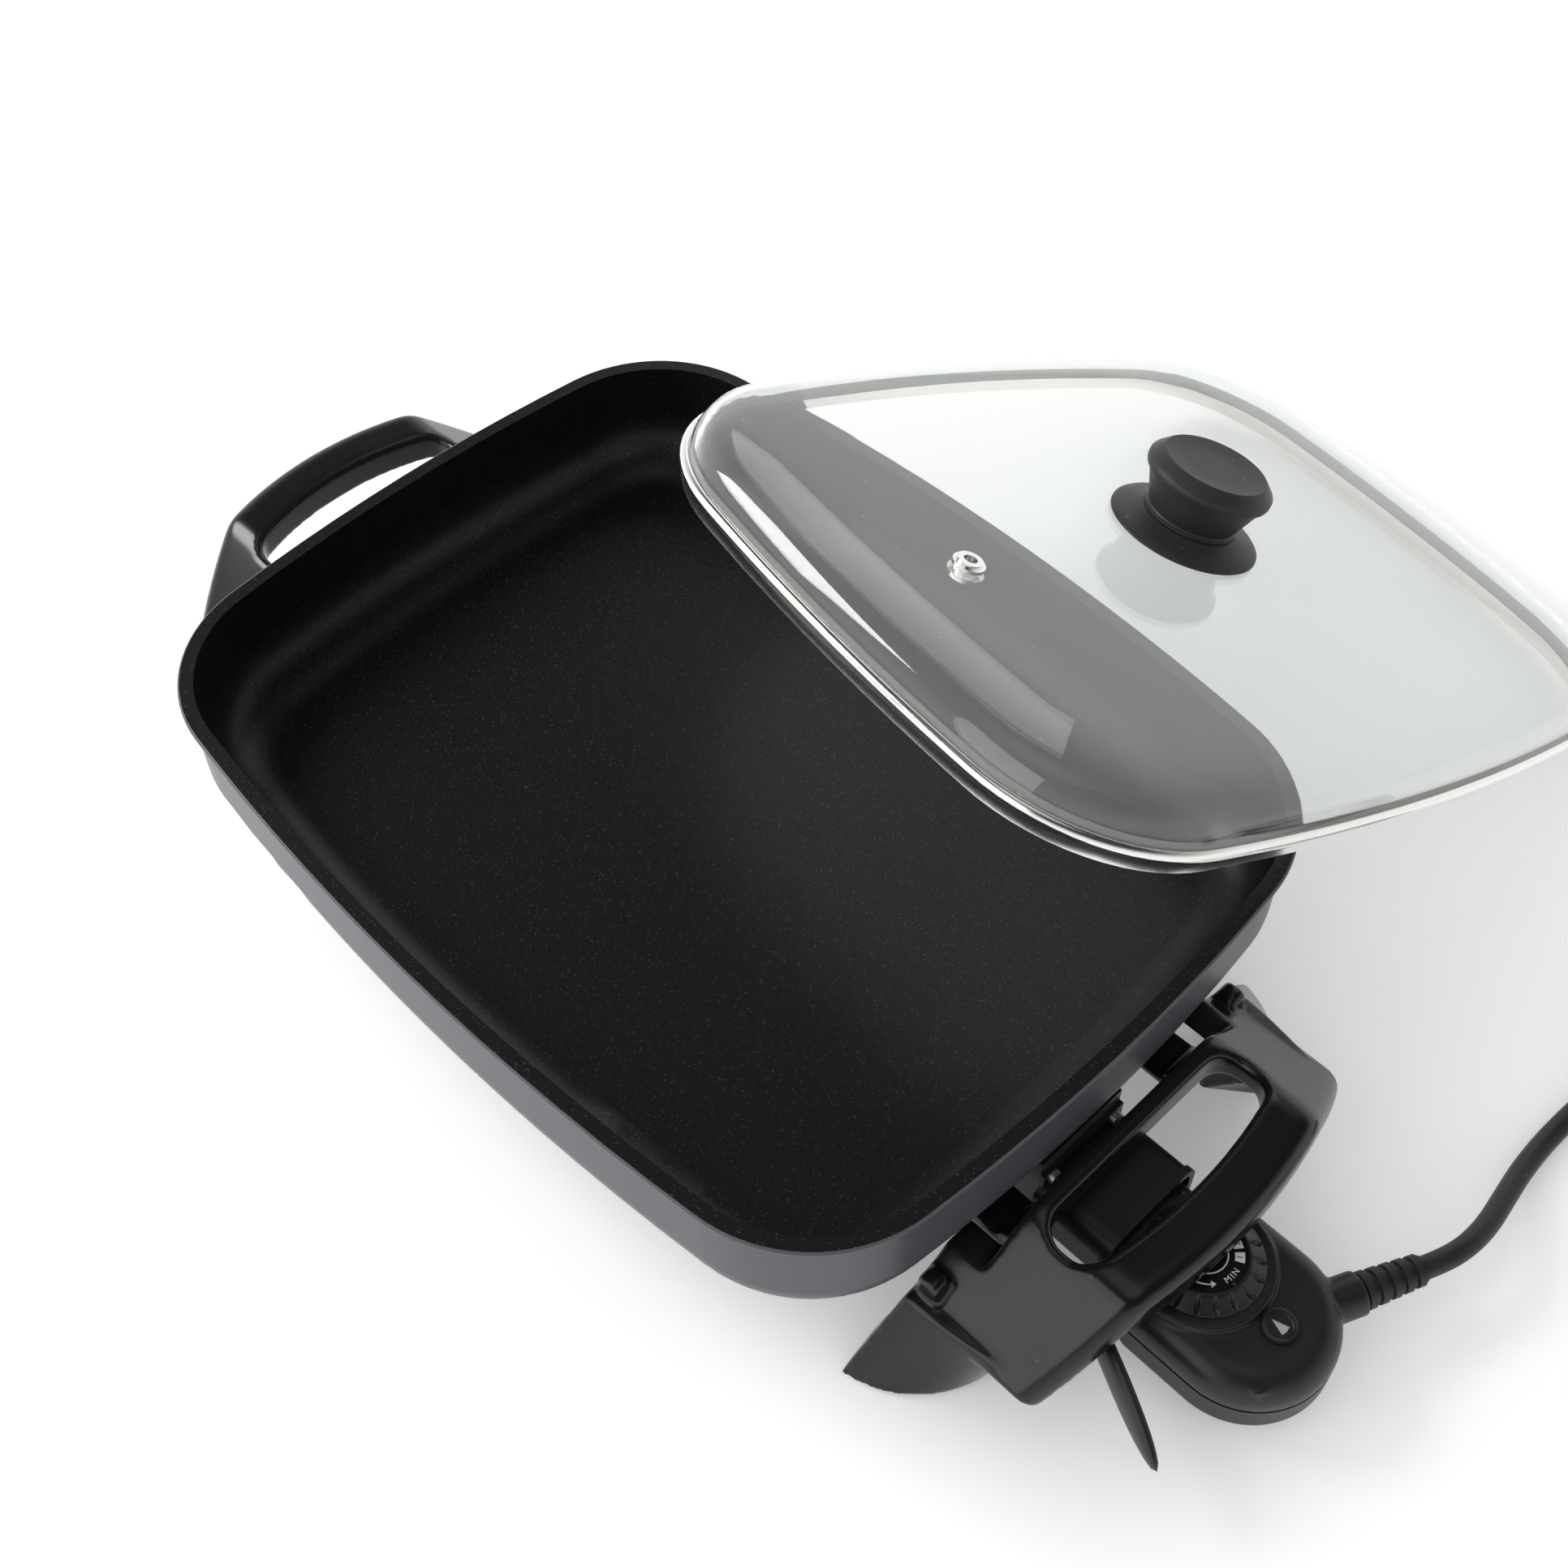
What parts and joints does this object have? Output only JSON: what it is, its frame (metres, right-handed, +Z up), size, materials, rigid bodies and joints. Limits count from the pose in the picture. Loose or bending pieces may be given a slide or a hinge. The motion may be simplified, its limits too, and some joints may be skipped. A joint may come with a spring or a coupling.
{
  "type": "electric skillet",
  "caption": "Electric skillet: non-stick pan on two handle brackets with legs, plug-in heat control with dial and cord, and a glass lid leaning on the rim.",
  "frame": {"origin": "centre of the footprint of pan, brackets, control and leaning lid, on the table plane", "axes": "+Z up, +X towards the heat control end of the pan, +Y towards the side the lid leans on"},
  "size_m": [0.722, 0.5482, 0.1741],
  "materials": {
    "pan": "non-stick coated, satin",
    "steel": "brushed",
    "polished": "polished",
    "gloss_black": "gloss",
    "matte_black": "satin",
    "charcoal": "matte",
    "rubber": "matte",
    "glass": "clear, slightly grey",
    "brass": "bright",
    "face": "printed",
    "lens": "gloss",
    "block": "matte",
    "seal": "matte"
  },
  "bodies": {
    "base": {"pan": "pan", "heating_element": "steel", "element_terminals": "steel", "probe_guide_tube": "steel", "socket_guard": "matte_black", "guard_screws": "steel", "front_bracket": "gloss_black", "rear_bracket": "gloss_black", "front_handle_cover": "matte_black", "rear_handle_cover": "matte_black", "bracket_screws_front": "steel", "bracket_screws_rear": "steel", "foot_pads_front": "rubber", "foot_pads_rear": "rubber", "lever_pin": "steel"},
    "lid": {"lid_band": "polished", "lid_seal": "seal", "lid_glass": "glass", "knob_foot": "charcoal", "knob_body": "charcoal", "knob_cap": "charcoal", "knob_seal": "seal", "knob_washer": "polished", "knob_screw": "steel", "steam_vent": "polished", "vent_collar": "polished"},
    "control": {"control_upper": "matte_black", "control_lower": "matte_black", "housing_screws": "steel", "control_contacts": "brass", "sensor_rod": "steel", "thermostat_frame": "steel", "bimetal_blade": "brass", "terminal_block": "block", "cord_clamp": "block", "pilot_lens": "lens", "pilot_lamp": "lens", "strain_relief": "rubber", "cord": "rubber", "cord_coil": "rubber", "cord_tail": "rubber", "plug_body": "rubber", "plug_relief": "rubber", "plug_pins": "brass"},
    "dial": {"dial_ring": "charcoal", "dial_face": "face", "dial_shaft": "brass"},
    "lever": {"ejector_lever": "matte_black"}
  },
  "joints": [
    {"name": "lid_lift", "type": "slide", "parent": "base", "child": "lid", "axis": [0, 0, 1], "range_m": [0, 0.15]},
    {"name": "control_pull", "type": "slide", "parent": "base", "child": "control", "axis": [1, 0, 0], "range_m": [0, 0.08]},
    {"name": "dial_turn", "type": "hinge", "parent": "control", "child": "dial", "pos_m": [0.23803, -0.12711, 0.044], "axis": [0, 0, -1], "range_deg": [0, 270]},
    {"name": "lever_swing", "type": "hinge", "parent": "base", "child": "lever", "pos_m": [0.22003, -0.16811, 0.036], "axis": [0, 0, 1], "range_deg": [0, 12]}
  ]
}
